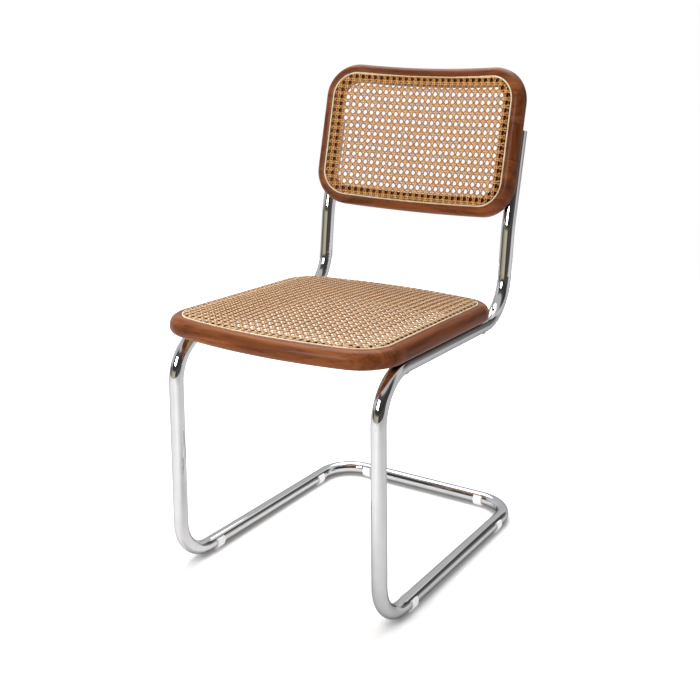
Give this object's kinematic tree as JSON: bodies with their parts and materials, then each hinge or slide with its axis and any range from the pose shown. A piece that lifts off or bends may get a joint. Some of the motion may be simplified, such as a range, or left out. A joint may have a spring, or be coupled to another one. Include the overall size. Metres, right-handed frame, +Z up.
{
  "type": "rattan dining chair",
  "caption": "Cantilever dining chair: one bent chromed tube carrying a wooden seat frame and a curved wooden back frame, both filled with woven cane.",
  "frame": {"origin": "on the floor under the middle of the bounding box", "axes": "+Z up, the sitter faces -Y, +X across the seat towards the sitter's left"},
  "size_m": [0.4434, 0.5972, 0.8827],
  "materials": {
    "chrome": "polished",
    "plug": "matte",
    "wood": "satin lacquer over a walnut stain",
    "dowel": "plain",
    "cane": "woven natural cane",
    "spline": "plain reed",
    "screw": "zinc plated",
    "glide": "translucent satin"
  },
  "bodies": {
    "root": {"frame_tube": "chrome", "tube_plug_left": "plug", "tube_plug_right": "plug", "seat_rail_front": "wood", "seat_rail_rear": "wood", "seat_rail_left": "wood", "seat_rail_right": "wood", "seat_dowels": "dowel", "seat_cane": "cane", "seat_spline": "spline", "seat_screws": "screw", "back_rail_top": "wood", "back_rail_bottom": "wood", "back_stile_left": "wood", "back_stile_right": "wood", "back_dowels": "dowel", "back_cane": "cane", "back_spline": "spline", "back_screws": "screw", "glide_front_left": "glide", "glide_front_right": "glide", "glide_side_left": "glide", "glide_side_right": "glide", "glide_rear_left": "glide", "glide_rear_right": "glide"}
  },
  "joints": []
}
